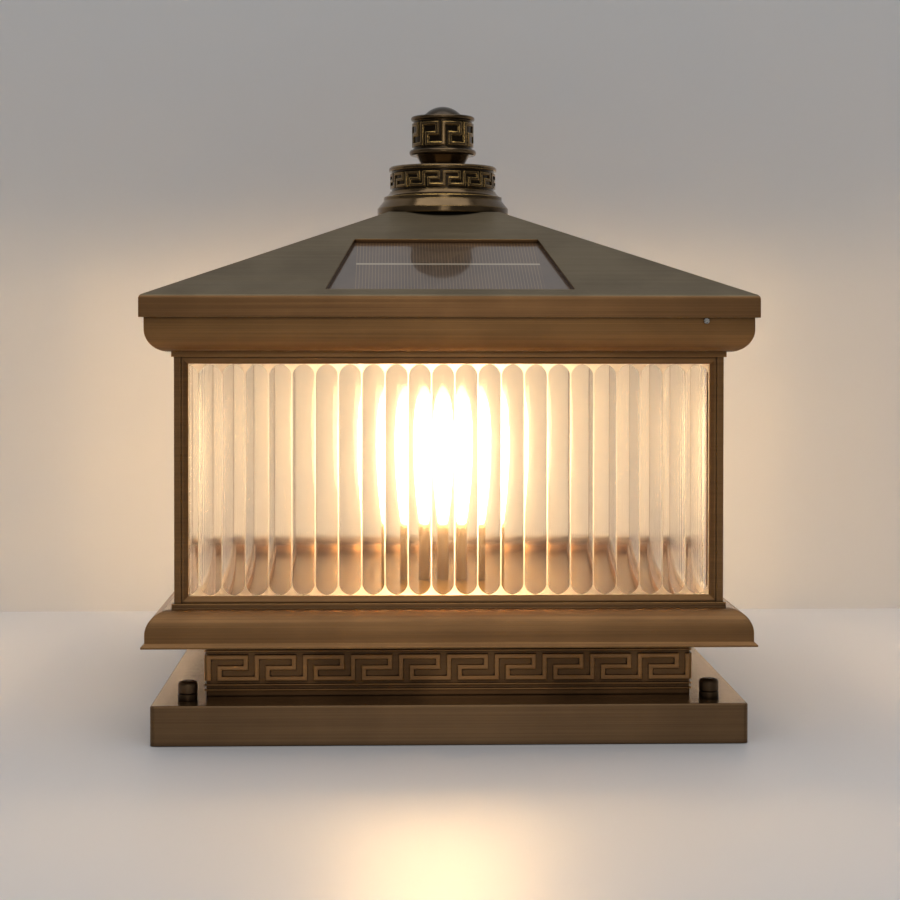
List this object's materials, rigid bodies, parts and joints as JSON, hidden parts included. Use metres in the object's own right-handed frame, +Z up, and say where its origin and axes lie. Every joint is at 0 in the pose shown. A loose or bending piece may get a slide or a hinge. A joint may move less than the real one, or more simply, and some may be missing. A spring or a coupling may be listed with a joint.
{
  "type": "solar pillar light",
  "caption": "Square solar pillar light: fluted glass lantern on a fretted neck and tray, hipped lift-off roof with solar panels, turned finial and screw-in bulb.",
  "frame": {"origin": "centre of the base, at the underside of the tray and mounting plate", "axes": "+Z up along the light's axis, -Y towards the viewer of the picture, +X to the viewer's right"},
  "size_m": [0.3, 0.3, 0.3262],
  "materials": {
    "bronze": "brushed antique bronze",
    "bronze_roof": "satin antique bronze",
    "bronze_cast": "cast antique bronze with bright edges",
    "dark_metal": "dark bronze",
    "steel": "plated",
    "pane_glass": "clear, fluted",
    "bulb_glass": "frosted",
    "solar_cell": "glossy",
    "black_plastic": "matt",
    "cell_sleeve": "shrink sleeve",
    "board": "solder mask",
    "button": "gloss",
    "brass_cap": "plain"
  },
  "bodies": {
    "lantern": {"mounting_plate": "dark_metal", "mounting_studs": "steel", "base_tray": "bronze", "stud_washers": "dark_metal", "neck_screws": "steel", "neck_fret_front": "bronze", "neck_fret_right": "bronze", "neck_fret_rear": "bronze", "neck_fret_left": "bronze", "lower_moulding_front": "bronze", "lower_moulding_right": "bronze", "lower_moulding_rear": "bronze", "lower_moulding_left": "bronze", "floor_plate": "bronze", "floor_screws": "steel", "corner_post_front_left": "bronze", "corner_post_front_right": "bronze", "corner_post_rear_left": "bronze", "corner_post_rear_right": "bronze", "window_frame_front": "bronze", "window_frame_right": "bronze", "window_frame_rear": "bronze", "window_frame_left": "bronze", "glass_pane_front": "pane_glass", "glass_pane_right": "pane_glass", "glass_pane_rear": "pane_glass", "glass_pane_left": "pane_glass", "upper_moulding_front": "bronze", "upper_moulding_right": "bronze", "upper_moulding_rear": "bronze", "upper_moulding_left": "bronze", "roof_lock_screws": "steel", "lampholder": "black_plastic", "holder_screws": "steel"},
    "roof": {"roof_shell": "bronze_roof", "solar_panel_front": "solar_cell", "solar_panel_right": "solar_cell", "solar_panel_rear": "solar_cell", "solar_panel_left": "solar_cell", "ceiling_plate": "bronze", "ceiling_screws": "steel", "controller_box": "black_plastic", "battery_holder": "black_plastic", "battery_cells": "cell_sleeve", "controller_board": "board", "power_switch": "black_plastic", "finial_nut": "steel"},
    "finial": {"finial_drum": "bronze_cast", "finial_knob": "bronze_cast", "finial_rod": "steel"},
    "bulb": {"bulb_cap": "brass_cap", "bulb_contact": "black_plastic", "bulb_globe": "bulb_glass"},
    "power_button": {"power_button": "button"},
    "cap_nut_front_left": {"cap_nut_front_left": "dark_metal"},
    "cap_nut_front_right": {"cap_nut_front_right": "dark_metal"},
    "cap_nut_rear_left": {"cap_nut_rear_left": "dark_metal"},
    "cap_nut_rear_right": {"cap_nut_rear_right": "dark_metal"}
  },
  "joints": [
    {"name": "roof_lift", "type": "slide", "parent": "lantern", "child": "roof", "axis": [0, 0, 1], "range_m": [0, 0.12]},
    {"name": "finial_turn", "type": "hinge", "parent": "roof", "child": "finial", "pos_m": [0, 0, 0.2657], "axis": [0, 0, 1], "range_deg": [0, 1440]},
    {"name": "bulb_turn", "type": "hinge", "parent": "lantern", "child": "bulb", "pos_m": [0, 0, 0.09], "axis": [0, 0, 1], "range_deg": [0, 900]},
    {"name": "button_press", "type": "slide", "parent": "roof", "child": "power_button", "axis": [0, 0, 1], "range_m": [0, 0.0015], "stiffness_N_per_m": 800, "springref_m": -0.002},
    {"name": "nut_turn_front_left", "type": "hinge", "parent": "lantern", "child": "cap_nut_front_left", "pos_m": [-0.1288, -0.1288, 0.0235], "axis": [0, 0, 1], "range_deg": [0, 1800]},
    {"name": "nut_turn_front_right", "type": "hinge", "parent": "lantern", "child": "cap_nut_front_right", "pos_m": [0.1288, -0.1288, 0.0235], "axis": [0, 0, 1], "range_deg": [0, 1800]},
    {"name": "nut_turn_rear_left", "type": "hinge", "parent": "lantern", "child": "cap_nut_rear_left", "pos_m": [-0.1288, 0.1288, 0.0235], "axis": [0, 0, 1], "range_deg": [0, 1800]},
    {"name": "nut_turn_rear_right", "type": "hinge", "parent": "lantern", "child": "cap_nut_rear_right", "pos_m": [0.1288, 0.1288, 0.0235], "axis": [0, 0, 1], "range_deg": [0, 1800]}
  ]
}
